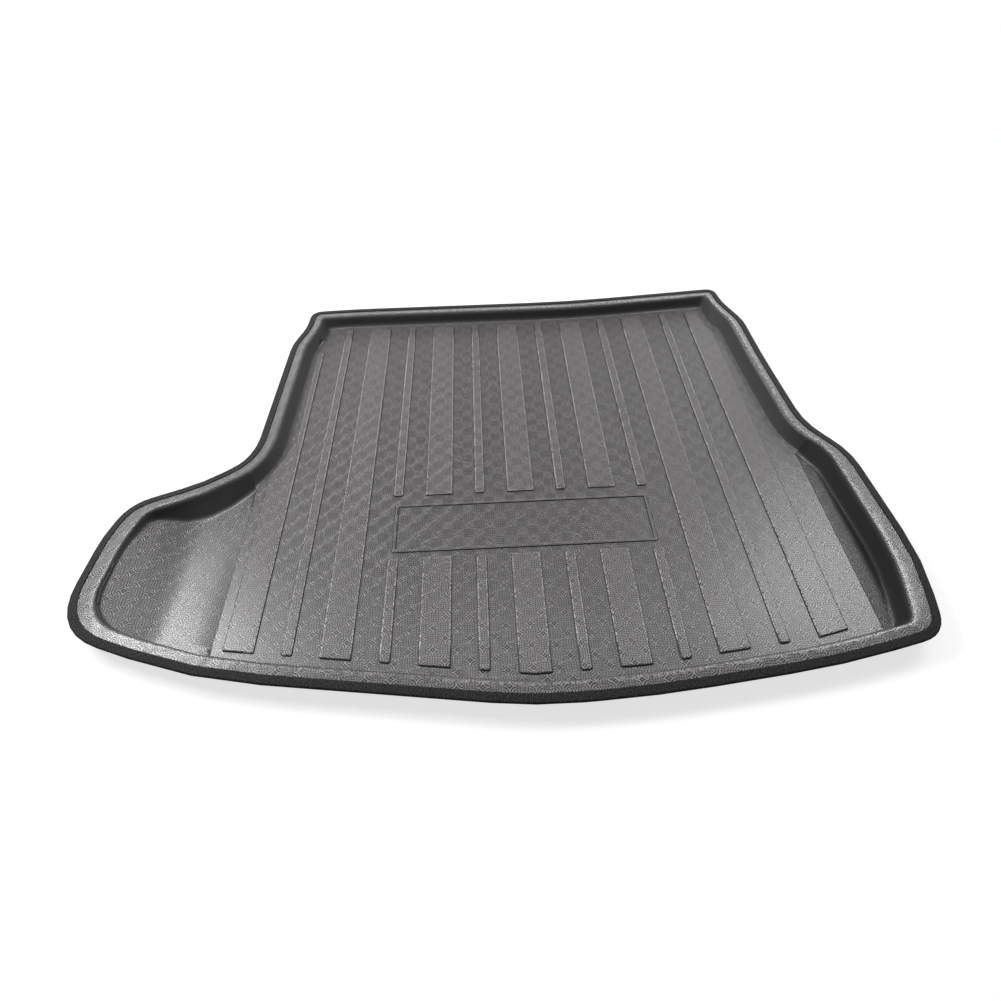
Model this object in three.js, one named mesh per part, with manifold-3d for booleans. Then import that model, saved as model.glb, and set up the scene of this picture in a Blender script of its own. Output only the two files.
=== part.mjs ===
// Car boot liner: one thermoformed sheet with a raised rim, ribs, a plain label panel and two side pockets,
// and a woven tape that wraps the sheet's edge. Millimetres, +Z up, X to the right, Y away from the bumper.
import * as THREE from 'three';
import Module from 'manifold-3d';

// Sheet and rim
const SHEET = 3;
const RIM_HEIGHT = 24;
const RIM_FALL = 3;
const CROWN_ROUND = 7;
const COVE_ROUND = 7;
const FLOOR_BORDER = 4;

// Plan of the rim's outer edge, measured from the front end of the centre rib
const FRONT_EDGE = -74;
const FAR_EDGE = 881;
const FAR_RIGHT_SKEW = 27;
const LEFT_WING = -690;
const RIGHT_WING = 595;
const LEFT_ARCH = -469;
const RIGHT_ARCH = 517;
const LEFT_WING_LENGTH = 313;
const RIGHT_WING_LENGTH = 363;

// Widths across the rim, from its outer edge
const FLANGE = 25;
const WING_FLANGE = 35;
const FRONT_WALL = 42;
const RIGHT_FRONT_WALL = 41;
const FAR_WALL = 44;
const LEFT_ARCH_WALL = 50;
const RIGHT_ARCH_WALL = 56;
const POCKET_WALL = 56;
const POCKET_FRONT_WALL = 39;
const LEFT_WING_WALL = 48;
const LEFT_WING_FRONT_WALL = 44;
const LEFT_WING_FAR_WALL = 42;
const DISH_WALL = 67;
const DISH_WALL_START = 60;

// Side pockets, each below the main floor and bounded by a crease. The left one is a dish that steps down
// at its crease, is lowest part of the way out, and rises in a straight slope beyond a soft fold. The right
// one is a trench that steps down at its crease and falls in a straight slope to the foot of the wall.
const LEFT_CREASE = -459;
const RIGHT_CREASE = 498;
const CREASE_RUN = 3;
const CREASE_STEP = 4.5;
const DISH_DEPTH = 11;
const DISH_LOWEST_RUN = 80;
const DISH_FOLD_RUN = 106;
const DISH_SLOPE = 0.37;
const TRENCH_STEP = 2;
const TRENCH_SLOPE = 0.23;
const TRENCH_REACH = 27;

// Ribs
const RIB_PITCH = 70;
const RIGHT_RIB_SPREAD = 3;
const SPREAD_FROM_RIB = 4;
const RIB_HEIGHT = 3;
const WIDE_RIB = 46;
const NARROW_RIB = 16.5;
const RIB_DRAFT = 0.8;
const RIB_BEVEL = 2.4;
const RIB_SHOULDER = 0.8 * RIB_HEIGHT;
const GROOVE_TAPER = 4.6;
const WIDE_RIB_CORNER = 3;
const NARROW_RIB_CORNER = 5;
const RIB_CLEARANCE = 7;
const TAIL_WIDTH = 12;
const TAIL_SETBACK = 130;
const TAIL_START = 157;
const TAIL_BEND_RUN = 88;
const HALF_FLOOR = Math.min(-LEFT_CREASE, RIGHT_CREASE) - RIB_CLEARANCE;
const RIBS_EACH_SIDE = Math.floor((HALF_FLOOR - WIDE_RIB / 2) / RIB_PITCH);

// Label panel, a thin raised frame on the floor
const PANEL_WIDTH = 428;
const PANEL_DEPTH = 103;
const PANEL_FRONT = 199;
const PANEL_CORNER = 4;
const BEAD_WIDTH = 7;
const BEAD_HEIGHT = 1.6;
const BEAD_BEVEL = 1.3;
const PANEL_GAP_FRONT = 12;
const PANEL_GAP_FAR = 18;

// Edge binding, a woven tape folded over the sheet's edge
const TAPE = 1.2;
const TAPE_REACH = 13.5;
const TAPE_CLEARANCE = 0.3;
const TAPE_FOLD = 1.9;
const TAPE_SHOULDER = 0.5;
const TAPE_END_BEVEL = 0.4;

const EDGE_INSET = TAPE + TAPE_CLEARANCE;
const TAPE_LAND = TAPE_REACH + 1;
const RIM_SLOPE = RIM_FALL / (FLANGE - EDGE_INSET);

// How far one solid reaches into another where the two are joined or cut
const SINK = 1;

// How finely curves are sampled
const TURN_PER_STEP = THREE.MathUtils.degToRad(11);
const GENTLE_TURN = THREE.MathUtils.degToRad(9);
const CREASE_SPANS = 3;
const ROUND_STEPS = 4;
const RIB_CORNER_STEPS = 3;

// Corners of the rim's outer edge, anticlockwise from above. Each gives its place, the length of its
// rounding along either side, and the flange and wall insets of the side that leaves it. Where the wall
// inset changes along a side, the corner that the side arrives at gives the inset there.
const rimCorners = [
  {
    x: LEFT_WING,
    y: FRONT_EDGE + 146,
    round: 92,
    flange: FLANGE,
    wall: POCKET_FRONT_WALL,
    arrivingWall: LEFT_WING_FRONT_WALL,
  },
  { x: LEFT_ARCH - 1, y: FRONT_EDGE + 62, round: 100, flange: FLANGE, wall: FRONT_WALL },
  { x: -4, y: FRONT_EDGE, round: 60, flange: FLANGE, wall: FRONT_WALL },
  { x: 157, y: FRONT_EDGE + 6, round: 80, flange: FLANGE, wall: RIGHT_FRONT_WALL },
  { x: 412, y: FRONT_EDGE + 36, round: 80, flange: FLANGE, wall: RIGHT_FRONT_WALL },
  { x: RIGHT_WING - 28, y: FRONT_EDGE + 72, round: 36, flange: WING_FLANGE, wall: POCKET_WALL },
  { x: RIGHT_WING, y: FRONT_EDGE + 196, round: 90, flange: WING_FLANGE, wall: POCKET_WALL },
  { x: RIGHT_WING - 14, y: RIGHT_WING_LENGTH, round: 40, flange: FLANGE, wall: POCKET_WALL },
  { x: RIGHT_ARCH + 12, y: RIGHT_WING_LENGTH + 74, round: 45, flange: FLANGE, wall: RIGHT_ARCH_WALL },
  { x: RIGHT_ARCH, y: FAR_EDGE - 236, round: 60, flange: FLANGE, wall: RIGHT_ARCH_WALL },
  { x: RIGHT_ARCH - 2, y: FAR_EDGE - 106, round: 20, flange: FLANGE, wall: RIGHT_ARCH_WALL },
  { x: RIGHT_ARCH - 28, y: FAR_EDGE - 29, round: 20, flange: FLANGE, wall: FAR_WALL },
  { x: RIGHT_ARCH - 33, y: FAR_EDGE + FAR_RIGHT_SKEW, round: 24, flange: FLANGE, wall: FAR_WALL },
  { x: RIGHT_ARCH - 167, y: FAR_EDGE + 16, round: 60, flange: FLANGE, wall: FAR_WALL },
  { x: 142, y: FAR_EDGE - 1, round: 90, flange: FLANGE, wall: FAR_WALL },
  { x: LEFT_ARCH + 134, y: FAR_EDGE + 4, round: 40, flange: FLANGE, wall: FAR_WALL },
  { x: LEFT_ARCH + 31, y: FAR_EDGE, round: 26, flange: FLANGE, wall: FAR_WALL },
  { x: LEFT_ARCH + 28, y: FAR_EDGE - 63, round: 18, flange: FLANGE, wall: LEFT_ARCH_WALL },
  { x: LEFT_ARCH + 7, y: FAR_EDGE - 126, round: 22, flange: FLANGE, wall: LEFT_ARCH_WALL },
  { x: LEFT_ARCH, y: LEFT_WING_LENGTH + 206, round: 40, flange: FLANGE, wall: LEFT_ARCH_WALL },
  { x: LEFT_ARCH - 2, y: LEFT_WING_LENGTH + 129, round: 22, flange: FLANGE, wall: LEFT_ARCH_WALL },
  { x: LEFT_ARCH - 18, y: LEFT_WING_LENGTH + 88, round: 30, flange: FLANGE, wall: POCKET_WALL },
  {
    x: LEFT_ARCH - 76,
    y: LEFT_WING_LENGTH + 44,
    round: 42,
    flange: FLANGE,
    wall: DISH_WALL,
    arrivingWall: DISH_WALL_START,
  },
  {
    x: LEFT_WING + 34,
    y: LEFT_WING_LENGTH,
    round: 36,
    flange: WING_FLANGE,
    wall: LEFT_WING_WALL,
    arrivingWall: LEFT_WING_FAR_WALL,
  },
  { x: LEFT_WING + 12, y: LEFT_WING_LENGTH - 68, round: 30, flange: WING_FLANGE, wall: LEFT_WING_WALL },
];

const cornerSides = (corners, index) => {
  const at = new THREE.Vector2(corners[index].x, corners[index].y);
  const before = corners[(index + corners.length - 1) % corners.length];
  const after = corners[(index + 1) % corners.length];
  const arriving = at.clone().sub(before);
  const leaving = new THREE.Vector2(after.x, after.y).sub(at);
  return { at, arriving, leaving, turn: arriving.angleTo(leaving) };
};

// Moves each side of a corner polygon inwards by its own inset. The rounding of an outer corner shrinks
// as an arc's does, and that of an inner corner grows. Sides that nearly line up share one inset.
function insetCorners(corners, insetOf, arrivingInsetOf = (corner, before) => insetOf(before)) {
  return corners.map((corner, index) => {
    const { at, arriving, leaving, turn } = cornerSides(corners, index);
    const insetBefore = arrivingInsetOf(corner, corners[(index + corners.length - 1) % corners.length]);
    const insetAfter = insetOf(corner);
    const along = arriving.clone().normalize();
    const onwards = leaving.clone().normalize();
    const crossing = along.cross(onwards);
    const mean = (insetBefore + insetAfter) / 2;
    const moved = at.clone();
    if (turn > GENTLE_TURN) {
      moved.addScaledVector(along, -insetAfter / crossing);
      moved.addScaledVector(onwards, insetBefore / crossing);
    } else {
      const bisector = along.clone().add(onwards).normalize();
      const inward = new THREE.Vector2(-bisector.y, bisector.x);
      moved.addScaledVector(inward, mean / Math.cos(turn / 2));
    }
    const shrink = Math.sign(crossing) * mean * Math.tan(turn / 2);
    return { ...corner, x: moved.x, y: moved.y, round: Math.max(corner.round - shrink, corner.round / 3) };
  });
}

// Samples a corner polygon with each corner rounded by a quadratic curve of a given number of steps.
// Neighbouring curves stay apart on the side that they share.
const SIDE_SHARE = 0.48;
function roundedRing(corners, stepsOf) {
  return corners.flatMap((corner, index) => {
    const { at, arriving, leaving } = cornerSides(corners, index);
    const reach = Math.min(corner.round, SIDE_SHARE * arriving.length(), SIDE_SHARE * leaving.length());
    const start = at.clone().addScaledVector(arriving.normalize(), -reach);
    const end = at.clone().addScaledVector(leaving.normalize(), reach);
    return new THREE.QuadraticBezierCurve(start, at, end).getPoints(stepsOf(corner, index));
  });
}

const rimSteps = rimCorners.map((_, index) => {
  const { turn } = cornerSides(rimCorners, index);
  return Math.max(2, Math.ceil(turn / TURN_PER_STEP));
});
const rimRing = (insetOf) => roundedRing(insetCorners(rimCorners, insetOf), (_, index) => rimSteps[index]);

// Corners of the line that runs inside the foot of the rim's wall at a given distance
function footCorners(distance) {
  return insetCorners(
    rimCorners,
    (corner) => corner.wall + distance,
    (corner, before) => (corner.arrivingWall ?? before.wall) + distance,
  );
}
const footRing = (distance) => roundedRing(footCorners(distance), (_, index) => rimSteps[index]);

// Height of the formed floor along X: level in the middle, a dish to the left, a trench to the right
function floorHeight(x) {
  if (x < LEFT_CREASE) {
    const run = LEFT_CREASE - x;
    const step = CREASE_STEP * Math.min(1, run / CREASE_RUN);
    const toLowest = 1 - Math.min(run, DISH_FOLD_RUN) / DISH_LOWEST_RUN;
    const bowl = (DISH_DEPTH - CREASE_STEP) * (1 - toLowest ** 2);
    return -step - bowl + DISH_SLOPE * Math.max(0, run - DISH_FOLD_RUN);
  }
  const run = Math.max(0, x - RIGHT_CREASE);
  const step = TRENCH_STEP * Math.min(1, run / CREASE_RUN);
  return -step - TRENCH_SLOPE * Math.max(0, run - CREASE_RUN);
}

// A number of even spans between two values, each given by its end
function evenly(from, to, count) {
  return Array.from({ length: count }, (_, span) => THREE.MathUtils.lerp(from, to, (span + 1) / count));
}

// Distances from a crease at which every line across its pocket is sampled
const dishRuns = [CREASE_RUN, ...evenly(CREASE_RUN, DISH_FOLD_RUN, CREASE_SPANS)];
const trenchRuns = [CREASE_RUN, ...evenly(CREASE_RUN, TRENCH_REACH, CREASE_SPANS)];
const pocketLines = [
  LEFT_CREASE,
  RIGHT_CREASE,
  ...dishRuns.map((run) => LEFT_CREASE - run),
  ...trenchRuns.map((run) => RIGHT_CREASE + run),
];

// Shares of the way from the floor's border to the rim's foot at which one line is sampled. In a pocket
// they fall on the same distances from the crease, as far as the line reaches.
function floorShares(border, foot) {
  const runs = foot.x < LEFT_CREASE ? dishRuns : trenchRuns;
  const inPocket = foot.x < LEFT_CREASE || foot.x > RIGHT_CREASE;
  if (!inPocket) {
    return runs.map((_, index) => (index + 1) / (runs.length + 1));
  }
  const reach = Math.abs(foot.x - border.x);
  const reached = runs.filter((run) => run < reach - CREASE_RUN / 2).map((run) => run / reach);
  const beyond = evenly(reached.at(-1) ?? 0, 1, runs.length - reached.length + 1);
  return [...reached, ...beyond.slice(0, -1)];
}

// Border of the main floor: the rim's foot moved inwards, and along a pocket its crease. The stations
// share the crease out mostly by how far they move along Y, so that lines across the pocket stay level.
const SHARE_OF_X = 0.15;
function floorBorder(inner, foot) {
  const border = inner.map((point) => point.clone());
  const count = inner.length;
  const pointOf = (ring, index) => ring[(index + count) % count];
  for (const crease of [LEFT_CREASE, RIGHT_CREASE]) {
    const inPocket = (point) => (crease < 0 ? point.x < crease : point.x > crease);
    const entry = (ring) => ring.findIndex((at, i) => inPocket(at) && !inPocket(pointOf(ring, i - 1)));
    const exit = (ring) => ring.findIndex((at, i) => inPocket(at) && !inPocket(pointOf(ring, i + 1)));
    const crossing = (from, to) => from.clone().lerp(to, (crease - from.x) / (to.x - from.x));
    const begin = crossing(pointOf(inner, entry(inner) - 1), inner[entry(inner)]);
    const end = crossing(inner[exit(inner)], pointOf(inner, exit(inner) + 1));
    const first = entry(foot);
    const stations = ((exit(foot) - first + count) % count) + 1;
    const run = [0];
    for (let station = 1; station < stations; station += 1) {
      const moved = pointOf(foot, first + station).clone().sub(pointOf(foot, first + station - 1));
      run.push(run.at(-1) + Math.abs(moved.y) + SHARE_OF_X * Math.abs(moved.x));
    }
    run.forEach((reached, station) => {
      pointOf(border, first + station).lerpVectors(begin, end, reached / run.at(-1));
    });
  }
  return border;
}

// One line across the rim at a station, from the main floor's border out to the sheet's edge
function rimProfile(border, foot, crown, land, edge) {
  const points = [new THREE.Vector3(border.x, border.y, 0)];
  for (const share of floorShares(border, foot)) {
    const at = border.clone().lerp(foot, share);
    points.push(new THREE.Vector3(at.x, at.y, floorHeight(at.x)));
  }
  const footHeight = floorHeight(foot.x);
  const width = crown.distanceTo(foot);
  const cove = Math.min(COVE_ROUND, width * SIDE_SHARE);
  const round = Math.min(CROWN_ROUND, width * SIDE_SHARE);
  const wallFoot = new THREE.Vector2(cove, footHeight);
  const wallTop = new THREE.Vector2(width - round, RIM_HEIGHT);
  const up = wallTop.clone().sub(wallFoot).normalize();
  const section = [
    ...new THREE.QuadraticBezierCurve(
      new THREE.Vector2(0, footHeight),
      wallFoot,
      wallFoot.clone().addScaledVector(up, cove),
    ).getPoints(ROUND_STEPS),
    ...new THREE.QuadraticBezierCurve(
      wallTop.clone().addScaledVector(up, -round),
      wallTop,
      new THREE.Vector2(width, RIM_HEIGHT),
    ).getPoints(ROUND_STEPS),
  ];
  for (const { x, y } of section) {
    const at = foot.clone().lerp(crown, x / width);
    points.push(new THREE.Vector3(at.x, at.y, y));
  }
  const landHeight = RIM_HEIGHT - RIM_FALL + RIM_SLOPE * (TAPE_LAND - EDGE_INSET);
  points.push(new THREE.Vector3(land.x, land.y, landHeight));
  points.push(new THREE.Vector3(edge.x, edge.y, RIM_HEIGHT - RIM_FALL));
  return points;
}

// Stations round the rim, each with its points on five rings. One more is put in wherever the foot of the
// wall crosses a line at which the pockets are sampled.
function rimStations() {
  const rings = [
    footRing(0),
    footRing(FLOOR_BORDER),
    rimRing((corner) => corner.flange),
    rimRing(() => TAPE_LAND),
    rimRing(() => EDGE_INSET),
  ];
  const stations = rings[0].map((_, index) => rings.map((ring) => ring[index]));
  return stations.flatMap((station, index) => {
    const next = stations[(index + 1) % stations.length];
    const shares = pocketLines.map((x) => (x - station[0].x) / (next[0].x - station[0].x));
    const crossed = shares.filter((share) => share > 0 && share < 1).sort((a, b) => a - b);
    const added = crossed.map((share) => station.map((at, ring) => at.clone().lerp(next[ring], share)));
    return [station, ...added];
  });
}

// Rings of the formed surface, from the main floor's border out to the sheet's edge
function sheetRings() {
  const stations = rimStations();
  const foot = stations.map((station) => station[0]);
  const border = floorBorder(stations.map((station) => station[1]), foot);
  const lines = stations.map((station, i) => rimProfile(border[i], foot[i], ...station.slice(2)));
  return lines[0].map((_, row) => lines.map((line) => line[row]));
}

// The same rings one sheet thickness below, square to the formed surface
function undersideRings(rings) {
  const rows = rings.length;
  return rings.map((ring, row) => ring.map((point, station) => {
    if (row === 0 || row === rows - 1) {
      return point.clone().setZ(point.z - SHEET);
    }
    const before = ring[(station + ring.length - 1) % ring.length];
    const around = ring[(station + 1) % ring.length].clone().sub(before);
    const outwards = rings[row + 1][station].clone().sub(rings[row - 1][station]);
    const normal = outwards.cross(around).normalize();
    return point.clone().addScaledVector(normal, -SHEET);
  }));
}

// Closed solid through equal rings, capped at both ends, or joined end to end when looped
function loft(rings, looped = false) {
  const size = rings[0].length;
  const positions = rings.flat().flatMap((point) => [point.x, point.y, point.z]);
  const triangles = [];
  const bands = looped ? rings.length : rings.length - 1;
  for (let band = 0; band < bands; band += 1) {
    const lower = band * size;
    const upper = ((band + 1) % rings.length) * size;
    for (let i = 0; i < size; i += 1) {
      const next = (i + 1) % size;
      triangles.push(lower + i, lower + next, upper + next, lower + i, upper + next, upper + i);
    }
  }
  if (!looped) {
    const last = (rings.length - 1) * size;
    const flat = (ring) => ring.map((point) => new THREE.Vector2(point.x, point.y));
    for (const [a, b, c] of THREE.ShapeUtils.triangulateShape(flat(rings[0]), [])) {
      triangles.push(a, c, b);
    }
    for (const [a, b, c] of THREE.ShapeUtils.triangulateShape(flat(rings[rings.length - 1]), [])) {
      triangles.push(last + a, last + b, last + c);
    }
  }
  return { vertProperties: new Float32Array(positions), triVerts: new Uint32Array(triangles) };
}

const atHeight = (ring, z) => ring.map((point) => new THREE.Vector3(point.x, point.y, z));

// Keeps the part of a polygon on one side of a line of constant X or Y, and marks the corners on the line
function clip(corners, axis, limit, side) {
  return corners.flatMap((corner, index) => {
    const after = corners[(index + 1) % corners.length];
    const here = side * (corner[axis] - limit);
    const there = side * (after[axis] - limit);
    const kept = here >= 0 ? [corner] : [];
    if (here * there < 0) {
      const share = here / (here - there);
      const x = THREE.MathUtils.lerp(corner.x, after.x, share);
      const y = THREE.MathUtils.lerp(corner.y, after.y, share);
      kept.push({ x, y, [axis]: limit, cut: true });
    }
    return kept;
  });
}

// Drops the corners that a clip left too close to a neighbour for a bevel to fit between them
function withoutShortSides(corners, shortest) {
  return corners.filter((corner, index) => {
    const before = corners[(index + corners.length - 1) % corners.length];
    const after = corners[(index + 1) % corners.length];
    const nearest = Math.min(
      Math.hypot(corner.x - before.x, corner.y - before.y),
      Math.hypot(corner.x - after.x, corner.y - after.y),
    );
    return corner.cut || nearest > shortest;
  });
}

const wasm = await Module();
wasm.setup();
const toSolid = (data) => new wasm.Manifold(new wasm.Mesh({ numProp: 3, ...data }));

// Plan of the level floor where ribs may stand: the main floor, clear of its border
function ribField() {
  const inner = footCorners(FLOOR_BORDER + RIB_CLEARANCE);
  const beyondLeft = clip(inner, 'x', LEFT_CREASE + RIB_CLEARANCE, 1);
  return clip(beyondLeft, 'x', RIGHT_CREASE - RIB_CLEARANCE, -1);
}

// The outermost rib on the left narrows to a tail where the wheel arch comes in
function tailedRib(strip, left, right) {
  const frontAt = (x) => Math.min(...strip.filter((corner) => corner.x === x).map((corner) => corner.y));
  return [
    { x: left, y: frontAt(left) },
    { x: right, y: frontAt(right) },
    { x: right, y: FAR_EDGE - TAIL_SETBACK },
    { x: right - TAIL_WIDTH, y: FAR_EDGE - TAIL_SETBACK },
    { x: right - TAIL_WIDTH, y: LEFT_WING_LENGTH + TAIL_START },
    { x: left, y: LEFT_WING_LENGTH + TAIL_START - TAIL_BEND_RUN },
  ];
}

// Rib outlines: each strip of the field, cut by the label panel where the two would meet
function ribOutlines() {
  const field = ribField();
  const outlines = [];
  for (let rib = -RIBS_EACH_SIDE; rib <= RIBS_EACH_SIDE; rib += 1) {
    const width = rib % 2 === 0 ? WIDE_RIB : NARROW_RIB;
    const centre = rib * RIB_PITCH + Math.max(0, rib - SPREAD_FROM_RIB) * RIGHT_RIB_SPREAD;
    const left = centre - width / 2;
    const right = centre + width / 2;
    const inField = clip(clip(field, 'x', left, 1), 'x', right, -1);
    const strip = rib === -RIBS_EACH_SIDE ? tailedRib(inField, left, right) : inField;
    const meetsPanel = Math.abs(centre) - width / 2 < PANEL_WIDTH / 2;
    const round = Math.min(rib % 2 === 0 ? WIDE_RIB_CORNER : NARROW_RIB_CORNER, width / 2);
    const lengths = meetsPanel
      ? [
        clip(strip, 'y', PANEL_FRONT - PANEL_GAP_FRONT, -1),
        clip(strip, 'y', PANEL_FRONT + PANEL_DEPTH + PANEL_GAP_FAR, 1),
      ]
      : [strip];
    for (const corners of lengths.filter((length) => length.length > 2)) {
      const clean = withoutShortSides(corners, 3 * RIB_BEVEL);
      outlines.push(clean.map((corner) => ({ x: corner.x, y: corner.y, round })));
    }
  }
  return outlines;
}

function ribRing(outline, inset, z) {
  const corners = inset > 0 ? insetCorners(outline, () => inset) : outline;
  return atHeight(roundedRing(corners, () => RIB_CORNER_STEPS), z);
}

// A rib stands on the sheet, and its groove below follows it one sheet thickness in
const ribSolid = (outline) => toSolid(loft([
  ribRing(outline, 0, -SINK),
  ribRing(outline, 0, 0),
  ribRing(outline, RIB_DRAFT, RIB_SHOULDER),
  ribRing(outline, RIB_BEVEL, RIB_HEIGHT),
]));
const ribGroove = (outline) => toSolid(loft([
  ribRing(outline, RIB_BEVEL, -SHEET - SINK),
  ribRing(outline, RIB_BEVEL, -SHEET),
  ribRing(outline, GROOVE_TAPER, RIB_HEIGHT - SHEET),
]));

// The label panel's frame, a low bead round a plain field
function panelBead() {
  const halfWidth = PANEL_WIDTH / 2;
  const outer = [
    { x: -halfWidth, y: PANEL_FRONT, round: PANEL_CORNER },
    { x: halfWidth, y: PANEL_FRONT, round: PANEL_CORNER },
    { x: halfWidth, y: PANEL_FRONT + PANEL_DEPTH, round: PANEL_CORNER },
    { x: -halfWidth, y: PANEL_FRONT + PANEL_DEPTH, round: PANEL_CORNER },
  ];
  return toSolid(loft([
    ribRing(outer, 0, -SINK),
    ribRing(outer, 0, 0),
    ribRing(outer, BEAD_BEVEL, BEAD_HEIGHT),
    ribRing(outer, BEAD_WIDTH - BEAD_BEVEL, BEAD_HEIGHT),
    ribRing(outer, BEAD_WIDTH, 0),
    ribRing(outer, BEAD_WIDTH, -SINK),
  ], true));
}

function linerSolid() {
  const top = sheetRings();
  const under = undersideRings(top);
  let solid = toSolid(loft([...under, ...top.toReversed()]));
  for (const outline of ribOutlines()) {
    solid = solid.add(ribSolid(outline)).subtract(ribGroove(outline));
  }
  return solid.add(panelBead());
}

// Section of the binding as insets from its outer edge and heights on the sloping flange
function bindingSolid() {
  const topAt = (inset) => RIM_HEIGHT - RIM_FALL + RIM_SLOPE * (inset - EDGE_INSET);
  const inner = TAPE_CLEARANCE;
  const outer = TAPE_CLEARANCE + TAPE;
  const section = [
    [TAPE_REACH, inner],
    [TAPE_REACH - TAPE_END_BEVEL, outer],
    [TAPE_FOLD, outer],
    [TAPE_SHOULDER, TAPE / 2],
    [0, -SHEET / 2],
    [TAPE_SHOULDER, -SHEET - TAPE / 2],
    [TAPE_FOLD, -SHEET - outer],
    [TAPE_REACH - TAPE_END_BEVEL, -SHEET - outer],
    [TAPE_REACH, -SHEET - inner],
    [TAPE, -SHEET - inner],
    [TAPE, inner],
  ];
  const rings = section.map(([inset, height]) => {
    return atHeight(rimRing(() => inset), topAt(inset) + height);
  });
  return toSolid(loft(rings.toReversed(), true));
}

function toMesh(name, solid, material) {
  const { vertProperties, triVerts } = solid.getMesh();
  const geometry = new THREE.BufferGeometry();
  geometry.setAttribute('position', new THREE.BufferAttribute(vertProperties, 3));
  geometry.setIndex(new THREE.BufferAttribute(triVerts, 1));
  const mesh = new THREE.Mesh(geometry, material);
  mesh.name = name;
  return mesh;
}

const sheetMaterial = new THREE.MeshStandardMaterial({ color: '#4b4a4a', roughness: 0.45, metalness: 0 });
const tapeMaterial = new THREE.MeshStandardMaterial({ color: '#1a1a1b', roughness: 0.85, metalness: 0 });

const liner = new THREE.Group();
liner.add(toMesh('liner_tray', linerSolid(), sheetMaterial));
liner.add(toMesh('edge_binding', bindingSolid(), tapeMaterial));

// The origin is under the middle of the liner, at its lowest point
const extent = new THREE.Box3().setFromObject(liner);
const middle = extent.getCenter(new THREE.Vector3());
liner.position.set(-middle.x, -middle.y, -extent.min.z);

export default liner;
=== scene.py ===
"""Car boot liner: a thermoformed, embossed sheet with a woven tape round its edge."""
import math

import bmesh
import bpy
from mathutils import Matrix, Vector


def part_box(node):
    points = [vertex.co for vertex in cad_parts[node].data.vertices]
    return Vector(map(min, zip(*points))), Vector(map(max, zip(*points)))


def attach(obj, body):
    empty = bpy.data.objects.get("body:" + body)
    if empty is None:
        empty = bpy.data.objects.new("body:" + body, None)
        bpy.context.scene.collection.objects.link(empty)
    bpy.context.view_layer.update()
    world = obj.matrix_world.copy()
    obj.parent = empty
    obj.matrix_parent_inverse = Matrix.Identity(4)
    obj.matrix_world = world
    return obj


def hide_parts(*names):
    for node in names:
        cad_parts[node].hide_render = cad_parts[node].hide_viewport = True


MM = 0.001

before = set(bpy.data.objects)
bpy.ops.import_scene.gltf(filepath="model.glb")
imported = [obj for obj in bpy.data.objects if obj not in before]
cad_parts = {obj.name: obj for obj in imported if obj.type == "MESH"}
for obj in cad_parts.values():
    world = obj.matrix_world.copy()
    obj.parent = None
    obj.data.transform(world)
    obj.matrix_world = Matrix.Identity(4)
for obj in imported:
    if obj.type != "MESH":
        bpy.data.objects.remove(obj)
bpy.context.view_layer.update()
scene = bpy.context.scene
scene.view_settings.view_transform = "Standard"

# Real sizes of the sheet's embossed checker, in metres
TILE = 17.5 * MM
PIT_PITCH = TILE / 5
ARC_PITCH = TILE / 5
EMBOSS_HEIGHT = 0.3 * MM

# How far each wave has to swell to make the flank of a pit or an arc: where the flank starts and ends
PIT_FLANK = (0.82, 0.42)
PIT_FIELD_HEIGHT = 0.7
ARC_FLANK = (0.36, 0.9)

# Sizes of the sheet's own unevenness: its slack, the puckers along its rim, and the grain of its cells.
# The grain is drawn coarser than real, so that the far end shows it.
SLACK_LENGTH = 140 * MM
PUCKER_LENGTH = 20 * MM
SLACK_HEIGHT = 1.2 * MM
PUCKER_SHARE = 0.7
CELL_LENGTH = 4 * MM

# Heights of the rim's crown, the main floor, the top of the label panel's bead, and the ribs
RIM_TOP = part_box("liner_tray")[1][2]
FLOOR_LEVEL = RIM_TOP - 24 * MM
BEAD_TOP = FLOOR_LEVEL + 1.6 * MM
RIB_SHOULDER = FLOOR_LEVEL + 2.4 * MM
RIB_TOP = FLOOR_LEVEL + 3.0 * MM

# The sheet's bends that are rounded here: the height of their edges, the least bend in degrees
# and the rounding
BENDS = (
    (FLOOR_LEVEL, 40, 1.5 * MM),
    (BEAD_TOP, 40, 0.8 * MM),
    (RIB_SHOULDER, 40, 0.8 * MM),
    (RIB_TOP, 10, 0.8 * MM),
)
BEND_TOLERANCE = 0.01 * MM

# Middle and half size of the ribbed part of the floor, seen from above
RIBBED_MIDDLE = (0.045, -0.01, 0)
RIBBED_HALF = (0.41, 0.385, 1)

# Where the skin changes: the place where each change starts and the place where it is full.
# Steep and tilted go by how far the surface faces up, and the rest by a place in metres.
STEEP = (0.985, 0.75)
TILTED = (0.99, 0.95)
RIGHT_POCKET = (0.49, 0.56)
TRENCH = (FLOOR_LEVEL - 5 * MM, FLOOR_LEVEL - 9.5 * MM)
SHOULDER = (FLOOR_LEVEL + 1.5 * MM, FLOOR_LEVEL + 1.9 * MM)
SHOULDER_END = FLOOR_LEVEL + 3.2 * MM
CREST = (RIM_TOP - 0.5 * MM, RIM_TOP - 0.1 * MM)
CREST_RUN = (-0.6, 0.6)
# Painted highlight on the crest: its strength from the left end to the right end
CREST_GLINT_SHARE = (0.1, 0.62)
RAISED = (FLOOR_LEVEL + 0.5 * MM, FLOOR_LEVEL + 2.5 * MM)
PUCKERED = (FLOOR_LEVEL + 10 * MM, FLOOR_LEVEL + 22 * MM)

# The emboss: its strength on the floor against 1 on the ribs, and how much of it a drawn side loses
FLOOR_EMBOSS = 0.76
DRAWN_LOSS = 0.8

# The foam's grain: the part of the noise that shows and the tones it gives, the flecks of the painted
# highlight, and a lift to the skin's tone where it stands above the floor
GRAIN_NOISE = (0.3, 0.7)
GRAIN_TONE = (0.66, 1.2)
FLECK_NOISE = (0.4, 0.62)
FLECK_COVER = 0.9
TONE_LIFT = 0.12
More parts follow.
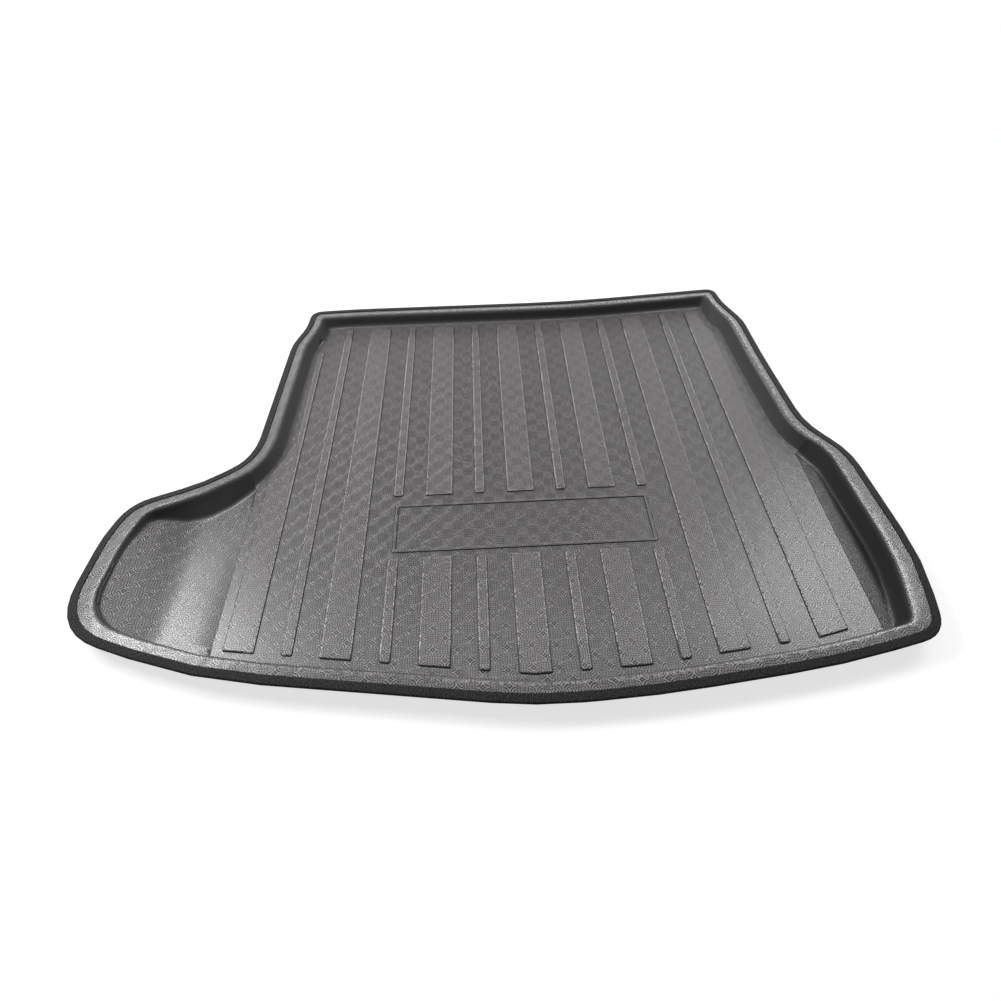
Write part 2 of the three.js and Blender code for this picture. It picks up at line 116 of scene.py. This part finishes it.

# The sheet's colours and roughness
# Painted shade: the hollows of the emboss are coloured near black
HOLLOW_SHADE_COLOUR = "#050505"
SKIN_COLOUR = "#878484"
# Painted shade: darker on the steep sides, and darkest in the right pocket's trench and on the ribs' sides
PAINTED_SHADE_COLOUR = "#3a3939"
DEEPEST_SHADE_COLOUR = "#0d0c0c"
# Painted highlight: light flecks on the ribs' shoulders and the rim's crest
PAINTED_GLINT_COLOUR = "#c4c0c0"
SKIN_ROUGHNESS = 0.3
DRAWN_ROUGHNESS = 0.75
PRESSED_POLISH = 0.14
SHEET_IOR = 1.6

# Sizes of the tape's weave, and how far its threads and its loose fibres show.
# The ribs, the threads and the fibres are drawn coarser than real, so that they show.
TAPE_RIB = 2.4 * MM
TAPE_THREAD = 1.6 * MM
TAPE_RELIEF = 0.3 * MM
FIBRE_LENGTH = 2.2 * MM
THREAD_SHARE = 0.4
TUFT_NOISE = (0.38, 0.68)

# The tape's colours and finish
TAPE_GAP_COLOUR = "#020202"
TAPE_FIBRE_COLOUR = "#4a4a4d"
TAPE_ROUGHNESS = 0.7
TAPE_SPECULAR = 0.3

# Height of the middle of the tape's outer fold, and how near to it the fold's edges lie
TAPE_FOLD_LEVEL = RIM_TOP - 4.69 * MM
FOLD_TOLERANCE = 0.05 * MM

# Joining of the CAD nodes' loose triangles, and the bends in degrees that stay sharp
WELD_DISTANCE = 0.002 * MM
FLAT_ANGLE = 0.3
TRAY_SHARP_ANGLE = 38
TAPE_SHARP_ANGLE = 50

# The studio floor: half its size, and how it turns to white between two distances from the middle
FLOOR_HALF = 1.7
FLOOR_COLOUR = "#a8a8a8"
FLOOR_ROUGHNESS = 0.9
FLOOR_FADE = (0.9, 1.5)
FLOOR_GLOW = (0.72, 1.0)
WHITE = (1, 1, 1, 1)

# Softboxes: name, place, the point they face, width, height and power in watts
SOFTBOXES = (
    ("back_left_light", (-1.54, 0.38, 1.68), (-0.42, -0.38, 0), 0.95, 0.6, 42),
    ("back_right_light", (1.5, 0.65, 1.6), (0.50, -0.33, 0), 0.8, 0.8, 18),
    ("backdrop_light", (0, 2.6, 0.55), (0, 0, 0.2), 5.0, 0.8, 25),
    ("overhead_light", (0, 0.75, 2.2), (0, 0.3, 0), 2.6, 0.5, 9),
    ("low_left_light", (-1.5, 1.5, 0.8), (-0.1, -0.1, 0), 1.3, 0.5, 4),
    ("low_right_light", (1.7, 1.4, 0.8), (0.1, -0.1, 0), 1.5, 0.5, 7),
)
ROOM_LIGHT = 0.1

# The photograph's view, fitted to the liner's outline and ribs
CAMERA_PLACE = Vector((-0.0017, -0.8399, 0.8286))
CAMERA_RIGHT = Vector((0.99886, -0.04235, -0.0220))
CAMERA_UP = Vector((0.04625, 0.74630, 0.6640))
LENS = 23.02
SENSOR_WIDTH = 36


def linear(code):
    """Turns an sRGB hex colour into the linear values that sockets take."""
    parts = [int(code[place:place + 2], 16) / 255 for place in (1, 3, 5)]
    return [p / 12.92 if p <= 0.04045 else ((p + 0.055) / 1.055) ** 2.4 for p in parts] + [1.0]


def add_node(tree, kind, values=None, links=None, **settings):
    """Adds a node, sets its properties and socket values, and links other nodes' outputs to it."""
    node = tree.nodes.new(kind)
    for name, value in settings.items():
        setattr(node, name, value)
    for socket, value in (values or {}).items():
        node.inputs[socket].default_value = value
    for socket, source in (links or {}).items():
        tree.links.new(source, node.inputs[socket])
    return node


def new_material(name):
    """An empty node material with a Principled shader on its output."""
    material = bpy.data.materials.new(name)
    material.use_nodes = True
    tree = material.node_tree
    tree.nodes.clear()
    shader = add_node(tree, "ShaderNodeBsdfPrincipled")
    add_node(tree, "ShaderNodeOutputMaterial", links={"Surface": shader.outputs[0]})
    return material, tree, shader


def pit_field(tree, inside):
    """Small pits: waves along both sides of the tile that pass through nought at its edge."""
    turns = math.pi * TILE / PIT_PITCH
    phase = add_node(tree, "ShaderNodeVectorMath", {1: (turns,) * 3}, {0: inside}, operation="MULTIPLY")
    wave = add_node(tree, "ShaderNodeVectorMath", links={0: phase.outputs[0]}, operation="SINE")
    swell = add_node(tree, "ShaderNodeVectorMath", links={0: wave.outputs[0]}, operation="ABSOLUTE")
    sides = add_node(tree, "ShaderNodeSeparateXYZ", links={0: swell.outputs[0]})
    depth = add_node(
        tree, "ShaderNodeMath", links={0: sides.outputs[0], 1: sides.outputs[1]}, operation="MINIMUM"
    )
    pits = add_node(
        tree,
        "ShaderNodeMapRange",
        {"From Min": PIT_FLANK[0], "From Max": PIT_FLANK[1], "To Max": PIT_FIELD_HEIGHT},
        {"Value": depth.outputs[0]},
        interpolation_type="SMOOTHSTEP",
    )
    return pits.outputs[0]


def arc_field(tree, inside):
    """Nested arcs: rings round each of the tile's corners, which meet half way along its sides."""
    half = {1: (0.5, 0.5, 0)}
    centred = add_node(tree, "ShaderNodeVectorMath", half, {0: inside}, operation="SUBTRACT")
    off = add_node(tree, "ShaderNodeVectorMath", links={0: centred.outputs[0]}, operation="ABSOLUTE")
    corner = add_node(tree, "ShaderNodeVectorMath", half, {0: off.outputs[0]}, operation="SUBTRACT")
    radius = add_node(tree, "ShaderNodeVectorMath", links={0: corner.outputs[0]}, operation="LENGTH")
    rings = math.pi * TILE / ARC_PITCH
    ring = add_node(tree, "ShaderNodeMath", {1: rings}, {0: radius.outputs["Value"]}, operation="MULTIPLY")
    wave = add_node(tree, "ShaderNodeMath", links={0: ring.outputs[0]}, operation="SINE")
    swell = add_node(tree, "ShaderNodeMath", links={0: wave.outputs[0]}, operation="ABSOLUTE")
    arcs = add_node(
        tree,
        "ShaderNodeMapRange",
        {"From Min": ARC_FLANK[0], "From Max": ARC_FLANK[1]},
        {"Value": swell.outputs[0]},
        interpolation_type="SMOOTHSTEP",
    )
    return arcs.outputs[0]


def emboss_height(tree, place):
    """Height of the embossed checker, from 0 to 1: tiles of small pits and tiles of nested arcs by turns."""
    per_metre = (1 / TILE, 1 / TILE, 0)
    tiles = add_node(tree, "ShaderNodeVectorMath", {1: per_metre}, {0: place}, operation="MULTIPLY")
    cell = add_node(tree, "ShaderNodeVectorMath", links={0: tiles.outputs[0]}, operation="FLOOR")
    count = add_node(
        tree, "ShaderNodeVectorMath", {1: (1, 1, 0)}, {0: cell.outputs[0]}, operation="DOT_PRODUCT"
    )
    odd = add_node(tree, "ShaderNodeMath", {1: 1.0}, {0: count.outputs["Value"]}, operation="PINGPONG")
    inside = add_node(tree, "ShaderNodeVectorMath", links={0: tiles.outputs[0]}, operation="FRACTION")
    pits = pit_field(tree, inside.outputs[0])
    arcs = arc_field(tree, inside.outputs[0])
    both = add_node(tree, "ShaderNodeMix", links={0: odd.outputs[0], 2: pits, 3: arcs})
    return both.outputs[0]


def ribbed_floor(tree, place):
    """1 over the part of the floor that holds the ribs and the label panel, and 0 elsewhere."""
    away = add_node(tree, "ShaderNodeVectorMath", {1: RIBBED_MIDDLE}, {0: place}, operation="SUBTRACT")
    share = add_node(tree, "ShaderNodeVectorMath", {1: RIBBED_HALF}, {0: away.outputs[0]}, operation="DIVIDE")
    reach = add_node(tree, "ShaderNodeVectorMath", links={0: share.outputs[0]}, operation="ABSOLUTE")
    reaches = add_node(tree, "ShaderNodeSeparateXYZ", links={0: reach.outputs[0]})
    furthest = add_node(
        tree, "ShaderNodeMath", links={0: reaches.outputs[0], 1: reaches.outputs[1]}, operation="MAXIMUM"
    )
    ribbed = add_node(tree, "ShaderNodeMath", {1: 1.0}, {0: furthest.outputs[0]}, operation="LESS_THAN")
    return ribbed.outputs[0]


def find_glint_band(tree, across, height, level, ribbed):
    """The ribs' shoulders and the crest of the rim, where a highlight is painted in light flecks and the skin
    is glossier.
    The crest's painted highlight and gloss are weaker towards the left."""
    high = add_node(
        tree, "ShaderNodeMapRange", {"From Min": SHOULDER[0], "From Max": SHOULDER[1]}, {"Value": height}
    )
    capped = add_node(tree, "ShaderNodeMath", {1: SHOULDER_END}, {0: height}, operation="LESS_THAN")
    band = add_node(
        tree, "ShaderNodeMath", links={0: high.outputs[0], 1: capped.outputs[0]}, operation="MULTIPLY"
    )
    upper = add_node(tree, "ShaderNodeMath", links={0: band.outputs[0], 1: ribbed}, operation="MULTIPLY")
    tilted = add_node(
        tree, "ShaderNodeMapRange", {"From Min": TILTED[0], "From Max": TILTED[1]}, {"Value": level}
    )
    shoulder = add_node(
        tree, "ShaderNodeMath", links={0: tilted.outputs[0], 1: upper.outputs[0]}, operation="MULTIPLY"
    )
    crown = add_node(
        tree, "ShaderNodeMapRange", {"From Min": CREST[0], "From Max": CREST[1]}, {"Value": height}
    )
    share = add_node(
        tree,
        "ShaderNodeMapRange",
        {
            "From Min": CREST_RUN[0],
            "From Max": CREST_RUN[1],
            "To Min": CREST_GLINT_SHARE[0],
            "To Max": CREST_GLINT_SHARE[1],
        },
        {"Value": across},
    )
    crest = add_node(
        tree, "ShaderNodeMath", links={0: crown.outputs[0], 1: share.outputs[0]}, operation="MULTIPLY"
    )
    glint_band = add_node(
        tree, "ShaderNodeMath", links={0: shoulder.outputs[0], 1: crest.outputs[0]}, operation="MAXIMUM"
    )
    return glint_band.outputs[0]


def steep_and_sunk_mask(tree, height, level, pocket, glint_band):
    """The sheet's steep sides, apart from the ribs' shoulders and the rim's crest, and the trench in the
    right pocket: where shade is painted in as a darker colour, and the skin is duller and loses its emboss.
    """
    steep = add_node(
        tree,
        "ShaderNodeMapRange",
        {"From Min": STEEP[0], "From Max": STEEP[1]},
        {"Value": level},
        interpolation_type="SMOOTHSTEP",
    )
    sunk = add_node(
        tree,
        "ShaderNodeMapRange",
        {"From Min": TRENCH[0], "From Max": TRENCH[1]},
        {"Value": height},
        interpolation_type="SMOOTHSTEP",
    )
    trench = add_node(tree, "ShaderNodeMath", links={0: sunk.outputs[0], 1: pocket}, operation="MULTIPLY")
    outside_glint_band = add_node(tree, "ShaderNodeMath", {0: 1.0}, {1: glint_band}, operation="SUBTRACT")
    wall = add_node(
        tree, "ShaderNodeMath", links={0: steep.outputs[0], 1: outside_glint_band.outputs[0]}, operation="MULTIPLY"
    )
    steep_and_sunk = add_node(
        tree, "ShaderNodeMath", links={0: wall.outputs[0], 1: trench.outputs[0]}, operation="MAXIMUM"
    )
    return steep_and_sunk.outputs[0]


def sheet_relief(tree, place, height, emboss, raised, steep_and_sunk):
    """The slack of the sheet and the puckers of its rim, under an emboss that is faint on drawn skin."""
    kept = add_node(tree, "ShaderNodeMath", {1: -DRAWN_LOSS, 2: 1.0}, {0: steep_and_sunk}, operation="MULTIPLY_ADD")
    crisp = add_node(tree, "ShaderNodeMath", links={0: raised, 1: kept.outputs[0]}, operation="MULTIPLY")
    drape = add_node(
        tree, "ShaderNodeTexNoise", {"Scale": 1 / SLACK_LENGTH, "Detail": 1.0}, {"Vector": place}
    )
    pucker = add_node(
        tree, "ShaderNodeTexNoise", {"Scale": 1 / PUCKER_LENGTH, "Detail": 1.0}, {"Vector": place}
    )
    rim = add_node(
        tree,
        "ShaderNodeMapRange",
        {"From Min": PUCKERED[0], "From Max": PUCKERED[1], "To Max": PUCKER_SHARE},
        {"Value": height},
    )
    pulled = add_node(
        tree,
        "ShaderNodeMath",
        links={0: pucker.outputs[0], 1: rim.outputs[0], 2: drape.outputs[0]},
        operation="MULTIPLY_ADD",
    )
    slack = add_node(
        tree, "ShaderNodeBump", {"Strength": 1.0, "Distance": SLACK_HEIGHT}, {"Height": pulled.outputs[0]}
    )
    relief = add_node(
        tree,
        "ShaderNodeBump",
        {"Distance": EMBOSS_HEIGHT},
        {"Height": emboss, "Normal": slack.outputs[0], "Strength": crisp.outputs[0]},
    )
    return relief.outputs[0]


def skin_colour(tree, emboss, raised, cells):
    """The plain skin, grained by its cells, with shade painted near black into the hollows of the emboss, so
    that its ridges read lighter.
    """
    grain = add_node(
        tree,
        "ShaderNodeMapRange",
        {
            "From Min": GRAIN_NOISE[0],
            "From Max": GRAIN_NOISE[1],
            "To Min": GRAIN_TONE[0],
            "To Max": GRAIN_TONE[1],
        },
        {"Value": cells},
    )
    lift = add_node(tree, "ShaderNodeMath", {1: TONE_LIFT}, {0: raised}, operation="ADD")
    shown = add_node(tree, "ShaderNodeMath", links={0: emboss, 1: lift.outputs[0]}, operation="MULTIPLY")
    tone = add_node(
        tree, "ShaderNodeMath", links={0: shown.outputs[0], 1: grain.outputs[0]}, operation="MULTIPLY"
    )
    # Painted shade: the emboss runs the skin from near black in its hollows to the plain colour on its ridges
    skin = add_node(
        tree,
        "ShaderNodeMix",
        {6: linear(HOLLOW_SHADE_COLOUR), 7: linear(SKIN_COLOUR)},
        {0: tone.outputs[0]},
        data_type="RGBA",
    )
    return skin.outputs[2]


def sheet_colour(tree, skin, cells, steep_and_sunk, glint_band, pocket, ribbed):
    """The plain skin, with shade painted in as a darker colour on the steep sides and in the trench, and a
    highlight painted in as light flecks on the ribs' shoulders and the rim's crest.
    The painted shade is darkest in the right pocket and at the ribs."""
    # Painted shade: the darker colours of the steep sides and the trench
    darkest_shade = add_node(tree, "ShaderNodeMath", links={0: pocket, 1: ribbed}, operation="MAXIMUM")
    painted_shade = add_node(
        tree,
        "ShaderNodeMix",
        {6: linear(PAINTED_SHADE_COLOUR), 7: linear(DEEPEST_SHADE_COLOUR)},
        {0: darkest_shade.outputs[0]},
        data_type="RGBA",
    )
    # Painted shade laid over the plain skin where it is steep or sunk
    tint = add_node(
        tree, "ShaderNodeMix", links={0: steep_and_sunk, 6: skin, 7: painted_shade.outputs[2]}, data_type="RGBA"
    )
    flecks = add_node(
        tree,
        "ShaderNodeMapRange",
        {"From Min": FLECK_NOISE[0], "From Max": FLECK_NOISE[1], "To Max": FLECK_COVER},
        {"Value": cells},
    )
    painted_glint = add_node(tree, "ShaderNodeMath", links={0: glint_band, 1: flecks.outputs[0]}, operation="MULTIPLY")
    # Painted highlight: light flecks over the ribs' shoulders and the rim's crest
    colour = add_node(
        tree,
        "ShaderNodeMix",
        {7: linear(PAINTED_GLINT_COLOUR)},
        {0: painted_glint.outputs[0], 6: tint.outputs[2]},
        data_type="RGBA",
    )
    return colour.outputs[2]


def sheet_roughness(tree, steep_and_sunk, glint_band):
    """Satin skin, duller where it was drawn and glossier where it was pressed."""
    dull = add_node(
        tree, "ShaderNodeMapRange", {"To Min": SKIN_ROUGHNESS, "To Max": DRAWN_ROUGHNESS}, {"Value": steep_and_sunk}
    )
    gloss = add_node(
        tree,
        "ShaderNodeMath",
        {1: -PRESSED_POLISH},
        {0: glint_band, 2: dull.outputs[0]},
        operation="MULTIPLY_ADD",
    )
    return gloss.outputs[0]


def foamed_sheet():
    """Foamed polyethylene, thermoformed: a satin skin whose fine emboss breaks each highlight into sparks.
    Drawn down a steep side or into the trench, it is duller and its emboss is nearly gone; there shade is
    painted into it as a darker colour.
    Pressed hardest by the mould, at the ribs' shoulders and the rim's crest, it is glossier; there a
    highlight is painted on in light flecks."""
    material, tree, shader = new_material("foamed_polyethylene_thermoformed")
    place = add_node(tree, "ShaderNodeTexCoord").outputs["Object"]
    axes = add_node(tree, "ShaderNodeSeparateXYZ", links={0: place})
    across, height = axes.outputs["X"], axes.outputs["Z"]
    facing = add_node(tree, "ShaderNodeNewGeometry").outputs["Normal"]
    upright = add_node(tree, "ShaderNodeVectorMath", {1: (0, 0, 1)}, {0: facing}, operation="DOT_PRODUCT")
    level = upright.outputs["Value"]
    pocket = add_node(
        tree,
        "ShaderNodeMapRange",
        {"From Min": RIGHT_POCKET[0], "From Max": RIGHT_POCKET[1]},
        {"Value": across},
        interpolation_type="SMOOTHSTEP",
    ).outputs[0]
    raised = add_node(
        tree,
        "ShaderNodeMapRange",
        {"From Min": RAISED[0], "From Max": RAISED[1], "To Min": FLOOR_EMBOSS, "To Max": 1.0},
        {"Value": height},
    ).outputs[0]
    cells = add_node(
        tree, "ShaderNodeTexNoise", {"Scale": 1 / CELL_LENGTH, "Detail": 2.0}, {"Vector": place}
    ).outputs[0]
    emboss = emboss_height(tree, place)
    ribbed = ribbed_floor(tree, place)
    glint_band = find_glint_band(tree, across, height, level, ribbed)
    steep_and_sunk = steep_and_sunk_mask(tree, height, level, pocket, glint_band)
    skin = skin_colour(tree, emboss, raised, cells)
    colour = sheet_colour(tree, skin, cells, steep_and_sunk, glint_band, pocket, ribbed)
    relief = sheet_relief(tree, place, height, emboss, raised, steep_and_sunk)
    roughness = sheet_roughness(tree, steep_and_sunk, glint_band)
    tree.links.new(colour, shader.inputs["Base Color"])
    tree.links.new(relief, shader.inputs["Normal"])
    tree.links.new(roughness, shader.inputs["Roughness"])
    shader.inputs["IOR"].default_value = SHEET_IOR
    return material


def woven_tape():
    """Polypropylene tape, woven: cross ribs, the threads that bind them and tufts of loose fibre, which read
    as a dull black grain."""
    material, tree, shader = new_material("polypropylene_tape_woven")
    along = add_node(tree, "ShaderNodeUVMap", uv_map="along_edge").outputs[0]
    turns = (math.pi / TAPE_RIB, math.pi / TAPE_THREAD, 0)
    phase = add_node(tree, "ShaderNodeVectorMath", {1: turns}, {0: along}, operation="MULTIPLY")
    wave = add_node(tree, "ShaderNodeVectorMath", links={0: phase.outputs[0]}, operation="SINE")
    swell = add_node(tree, "ShaderNodeVectorMath", links={0: wave.outputs[0]}, operation="ABSOLUTE")
    parts = add_node(tree, "ShaderNodeSeparateXYZ", links={0: swell.outputs[0]})
    binding = add_node(
        tree,
        "ShaderNodeMath",
        {1: THREAD_SHARE, 2: 1 - THREAD_SHARE},
        {0: parts.outputs[1]},
        operation="MULTIPLY_ADD",
    )
    weave = add_node(
        tree, "ShaderNodeMath", links={0: parts.outputs[0], 1: binding.outputs[0]}, operation="MULTIPLY"
    )
    fibres = add_node(
        tree, "ShaderNodeTexNoise", {"Scale": 1 / FIBRE_LENGTH, "Detail": 2.0}, {"Vector": along}
    )
    tuft = add_node(
        tree,
        "ShaderNodeMapRange",
        {"From Min": TUFT_NOISE[0], "From Max": TUFT_NOISE[1]},
        {"Value": fibres.outputs[0]},
    )
    uneven = add_node(
        tree, "ShaderNodeMath", links={0: weave.outputs[0], 1: tuft.outputs[0]}, operation="MULTIPLY"
    )
    tint = add_node(
        tree,
        "ShaderNodeMix",
        {6: linear(TAPE_GAP_COLOUR), 7: linear(TAPE_FIBRE_COLOUR)},
        {0: uneven.outputs[0]},
        data_type="RGBA",
    )
    relief = add_node(
        tree, "ShaderNodeBump", {"Strength": 1.0, "Distance": TAPE_RELIEF}, {"Height": weave.outputs[0]}
    )
    tree.links.new(tint.outputs[2], shader.inputs["Base Color"])
    tree.links.new(relief.outputs[0], shader.inputs["Normal"])
    shader.inputs["Roughness"].default_value = TAPE_ROUGHNESS
    shader.inputs["Specular IOR Level"].default_value = TAPE_SPECULAR
    return material


def merged_copy(node_name, piece_name):
    """A copy of a CAD node as one connected mesh, its flat areas joined into single faces."""
    mesh = bpy.data.meshes.new(piece_name)
    shell = bmesh.new()
    shell.from_mesh(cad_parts[node_name].data)
    bmesh.ops.remove_doubles(shell, verts=shell.verts, dist=WELD_DISTANCE)
    bmesh.ops.dissolve_limit(
        shell,
        angle_limit=math.radians(FLAT_ANGLE),
        verts=shell.verts,
        edges=shell.edges,
        delimit=set(),
    )
    shell.to_mesh(mesh)
    shell.free()
    mesh.materials.clear()
    piece = bpy.data.objects.new(piece_name, mesh)
    scene.collection.objects.link(piece)
    return piece


def smooth_within(piece, angle):
    """Smooths a piece across all but its sharp edges, and lets its large faces keep their own normals."""
    mesh = piece.data
    mesh.shade_smooth()
    mesh.set_sharp_from_angle(angle=math.radians(angle))
    weighted = piece.modifiers.new("face_weighted_normals", "WEIGHTED_NORMAL")
    weighted.keep_sharp = True
    weighted.weight = 100


def round_bends(piece):
    """Rounds the bends of the ribs and of the label panel's bead, as the sheet can't fold sharply."""
    shell = bmesh.new()
    shell.from_mesh(piece.data)
    for height, least_bend, rounding in BENDS:
        edges = [
            edge
            for edge in shell.edges
            if all(abs(vert.co.z - height) < BEND_TOLERANCE for vert in edge.verts)
            and edge.calc_face_angle(0) > math.radians(least_bend)
        ]
        bmesh.ops.bevel(
            shell,
            geom=edges,
            offset=rounding,
            segments=2,
            profile=0.5,
            affect="EDGES",
            material=-1,
            clamp_overlap=True,
        )
    shell.to_mesh(piece.data)
    shell.free()


def make_tray():
    """The moulded sheet, over the CAD sheet's own shape."""
    tray = merged_copy("liner_tray", "moulded_tray")
    round_bends(tray)
    smooth_within(tray, TRAY_SHARP_ANGLE)
    tray.data.materials.append(foamed_sheet())
    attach(tray, "root")
    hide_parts("liner_tray")


def walk_fold(shell):
    """The points of the tape's outer fold, seen from above, in order round the liner to the first again."""
    fold = [
        edge
        for edge in shell.edges
        if all(abs(vert.co.z - TAPE_FOLD_LEVEL) < FOLD_TOLERANCE for vert in edge.verts)
    ]
    start = fold[0].verts[0]
    ring, last, here = [start.co.xy.copy()], None, start
    while True:
        edge = next(e for e in here.link_edges if e in fold and e is not last)
        here, last = edge.other_vert(here), edge
        ring.append(here.co.xy.copy())
        if here is start:
            return ring


def place_along(point, ring, lengths):
    """How far round the fold a point lies, and its distance from the fold, below nought on the lower leg."""
    best = None
    for index, (before, after) in enumerate(zip(ring, ring[1:])):
        side = after - before
        share = min(1.0, max(0.0, (point.xy - before).dot(side) / side.length_squared))
        gap = (point.xy - before - side * share).length
        if best is None or gap < best[1]:
            best = (lengths[index] + share * side.length, gap)
    return best[0], math.copysign(best[1], point.z - TAPE_FOLD_LEVEL)


def lay_uv_along_edge(piece):
    """A UV map in metres: U follows the tape's outer fold round the liner and V runs across the tape."""
    shell = bmesh.new()
    shell.from_mesh(piece.data)
    ring = walk_fold(shell)
    lengths = [0.0]
    for before, after in zip(ring, ring[1:]):
        lengths.append(lengths[-1] + (after - before).length)
    whole = lengths[-1]
    layer = shell.loops.layers.uv.new("along_edge")
    places = {vert: place_along(vert.co, ring, lengths) for vert in shell.verts}
    for face in shell.faces:
        runs = [places[loop.vert][0] for loop in face.loops]
        for loop, run in zip(face.loops, runs):
            # A face across the fold's first point keeps its corners together
            wrapped = run + whole if max(runs) - run > whole / 2 else run
            loop[layer].uv = (wrapped, places[loop.vert][1])
    shell.to_mesh(piece.data)
    shell.free()


def make_binding():
    """The woven tape, over the CAD tape's own shape."""
    tape = merged_copy("edge_binding", "bound_edge_tape")
    lay_uv_along_edge(tape)
    smooth_within(tape, TAPE_SHARP_ANGLE)
    tape.data.materials.append(woven_tape())
    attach(tape, "root")
    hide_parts("edge_binding")


def studio_paper():
    """Matt paper: it shows white to the camera, fully so towards its edge, and keeps the liner's shadow."""
    material, tree, shader = new_material("studio_paper_matt")
    shader.inputs["Base Color"].default_value = linear(FLOOR_COLOUR)
    shader.inputs["Roughness"].default_value = FLOOR_ROUGHNESS
    shader.inputs["Emission Color"].default_value = WHITE
    path = add_node(tree, "ShaderNodeLightPath")
    spot = add_node(tree, "ShaderNodeTexCoord").outputs["Object"]
    distance = add_node(tree, "ShaderNodeVectorMath", links={0: spot}, operation="LENGTH")
    glow = add_node(
        tree,
        "ShaderNodeMapRange",
        {
            "From Min": FLOOR_FADE[0],
            "From Max": FLOOR_FADE[1],
            "To Min": FLOOR_GLOW[0],
            "To Max": FLOOR_GLOW[1],
        },
        {"Value": distance.outputs["Value"]},
    )
    seen = add_node(
        tree,
        "ShaderNodeMath",
        links={0: path.outputs["Is Camera Ray"], 1: glow.outputs[0]},
        operation="MULTIPLY",
    )
    tree.links.new(seen.outputs[0], shader.inputs["Emission Strength"])
    return material


def make_floor():
    """A pale studio floor under the liner."""
    mesh = bpy.data.meshes.new("studio_floor")
    sheet = bmesh.new()
    bmesh.ops.create_grid(sheet, x_segments=1, y_segments=1, size=FLOOR_HALF)
    sheet.to_mesh(mesh)
    sheet.free()
    floor = bpy.data.objects.new("studio_floor", mesh)
    scene.collection.objects.link(floor)
    mesh.materials.append(studio_paper())


def add_softbox(name, place, aim, width, height, power):
    """A soft rectangular studio light that shows in reflections but not to the camera."""
    light = bpy.data.lights.new(name, "AREA")
    light.shape = "RECTANGLE"
    light.size = width
    light.size_y = height
    light.energy = power
    lamp = bpy.data.objects.new(name, light)
    scene.collection.objects.link(lamp)
    away = Vector(place) - Vector(aim)
    lamp.matrix_world = Matrix.Translation(place) @ away.to_track_quat("Z", "Y").to_matrix().to_4x4()
    lamp.visible_camera = False


def make_lights():
    """The softboxes, and a room that is white to the camera and gives the liner a little light."""
    for softbox in SOFTBOXES:
        add_softbox(*softbox)
    world = bpy.data.worlds.new("studio")
    scene.world = world
    world.use_nodes = True
    tree = world.node_tree
    tree.nodes.clear()
    path = add_node(tree, "ShaderNodeLightPath")
    room = add_node(tree, "ShaderNodeBackground", {"Color": WHITE, "Strength": ROOM_LIGHT})
    backdrop = add_node(tree, "ShaderNodeBackground", {"Color": WHITE, "Strength": 1.0})
    chosen = add_node(
        tree,
        "ShaderNodeMixShader",
        links={0: path.outputs["Is Camera Ray"], 1: room.outputs[0], 2: backdrop.outputs[0]},
    )
    add_node(tree, "ShaderNodeOutputWorld", links={"Surface": chosen.outputs[0]})


def make_camera():
    """The camera, at the photograph's view."""
    lens = bpy.data.cameras.new("photo_view")
    lens.lens = LENS
    lens.sensor_width = SENSOR_WIDTH
    camera = bpy.data.objects.new("photo_view", lens)
    scene.collection.objects.link(camera)
    right = CAMERA_RIGHT.normalized()
    back = right.cross(CAMERA_UP).normalized()
    up = back.cross(right)
    camera.matrix_world = Matrix.Translation(CAMERA_PLACE) @ Matrix((right, up, back)).transposed().to_4x4()
    scene.camera = camera


make_camera()
make_tray()
make_binding()
make_floor()
make_lights()
